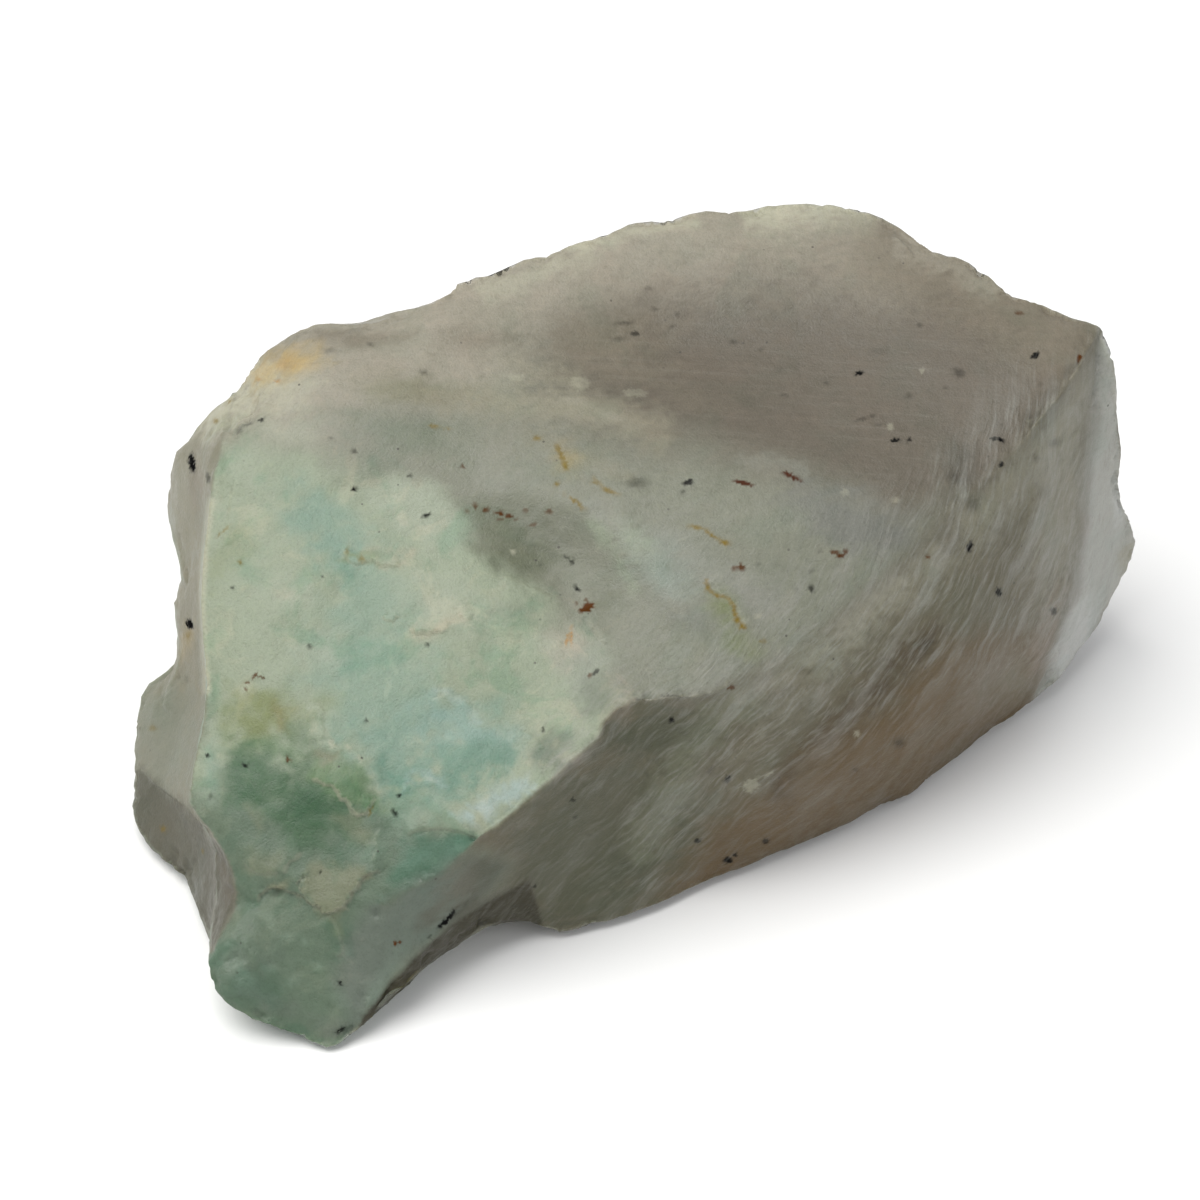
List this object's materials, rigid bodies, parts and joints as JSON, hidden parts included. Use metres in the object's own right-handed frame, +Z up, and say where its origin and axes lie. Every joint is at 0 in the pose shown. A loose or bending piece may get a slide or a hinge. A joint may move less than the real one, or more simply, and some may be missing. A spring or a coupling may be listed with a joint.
{
  "type": "rough blue opal stone",
  "caption": "Rough lump of pale green and grey opal, broken on all sides, with a hollowed top, a low tapering tip and a flat underside it lies on",
  "frame": {"origin": "middle of the stone's footprint box, on the surface it lies on", "axes": "+Z up from the flat underside; +X along the longest extent, from the low green tip towards the high square end; +Y towards the hidden broken back"},
  "size_m": [0.082, 0.044, 0.0347],
  "materials": {
    "opal": "broken waxy opal, pale mint green at the low end and taupe grey on top, dull to satin, faintly see-through at thin edges, with dark and rusty specks"
  },
  "bodies": {
    "root": {"opal_stone": "opal"}
  },
  "joints": []
}
